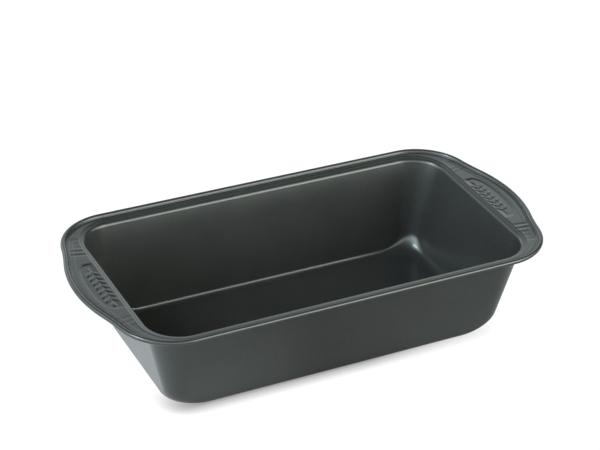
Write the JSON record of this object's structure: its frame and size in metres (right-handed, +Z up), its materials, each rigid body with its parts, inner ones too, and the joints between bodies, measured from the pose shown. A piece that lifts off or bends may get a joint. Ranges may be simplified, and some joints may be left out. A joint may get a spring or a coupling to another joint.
{
  "type": "loaf pan",
  "caption": "Rectangular non-stick steel loaf pan with drafted walls, broad lobed end handles and a rolled, wire-stiffened rim.",
  "frame": {"origin": "centre of the flat base, on the plane the pan stands on", "axes": "+X along the long axis towards one handle, +Y across the pan, +Z up out of the opening"},
  "size_m": [0.281, 0.1422, 0.0603],
  "materials": {
    "nonstick_coating": "satin dark grey non-stick coating on steel sheet",
    "wire_steel": "plain drawn steel wire"
  },
  "bodies": {
    "root": {"pan_shell": "nonstick_coating", "rim_wire": "wire_steel"}
  },
  "joints": []
}
